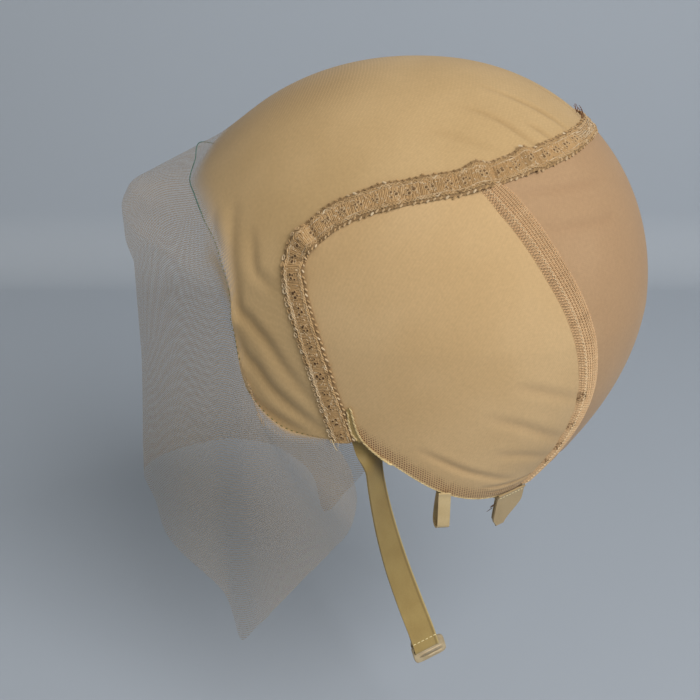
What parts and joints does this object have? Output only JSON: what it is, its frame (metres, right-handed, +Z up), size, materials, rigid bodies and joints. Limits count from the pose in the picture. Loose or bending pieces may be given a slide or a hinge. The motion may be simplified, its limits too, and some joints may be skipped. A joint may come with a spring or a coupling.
{
  "type": "lace front wig cap",
  "caption": "Head-shaped net wig cap with an uncut lace front, stretch lace trim, mesh seam tapes, a corded hem, ribbon loops and hooked straps.",
  "frame": {"origin": "inside of the crown, where the cap sits on the top of a head", "axes": "+Z up, the wearer looks along -Y, the wearer's left is +X"},
  "size_m": [0.1546, 0.2197, 0.2432],
  "materials": {
    "lace": "sheer tan net",
    "side_net": "fine beige stretch net",
    "back_net": "fine rosy tan stretch net",
    "trim": "knitted stretch lace with picot edges",
    "tape": "honeycomb mesh tape",
    "cord": "pale elastic cord",
    "loop": "plain ribbon",
    "ribbon": "olive tan elastic ribbon",
    "hook": "translucent greyish plastic"
  },
  "bodies": {
    "root": {"lace_front": "lace", "side_panel_left": "side_net", "side_panel_right": "side_net", "back_panel": "back_net", "trim_band": "trim", "seam_tape_left": "tape", "seam_tape_right": "tape", "hem_cord": "cord", "hem_loop_left": "loop", "hem_loop_right": "loop", "nape_tab_left": "loop", "nape_tab_right": "loop", "strap_left": "ribbon", "strap_right": "ribbon", "strap_hook_left": "hook", "strap_hook_right": "hook"}
  },
  "joints": []
}
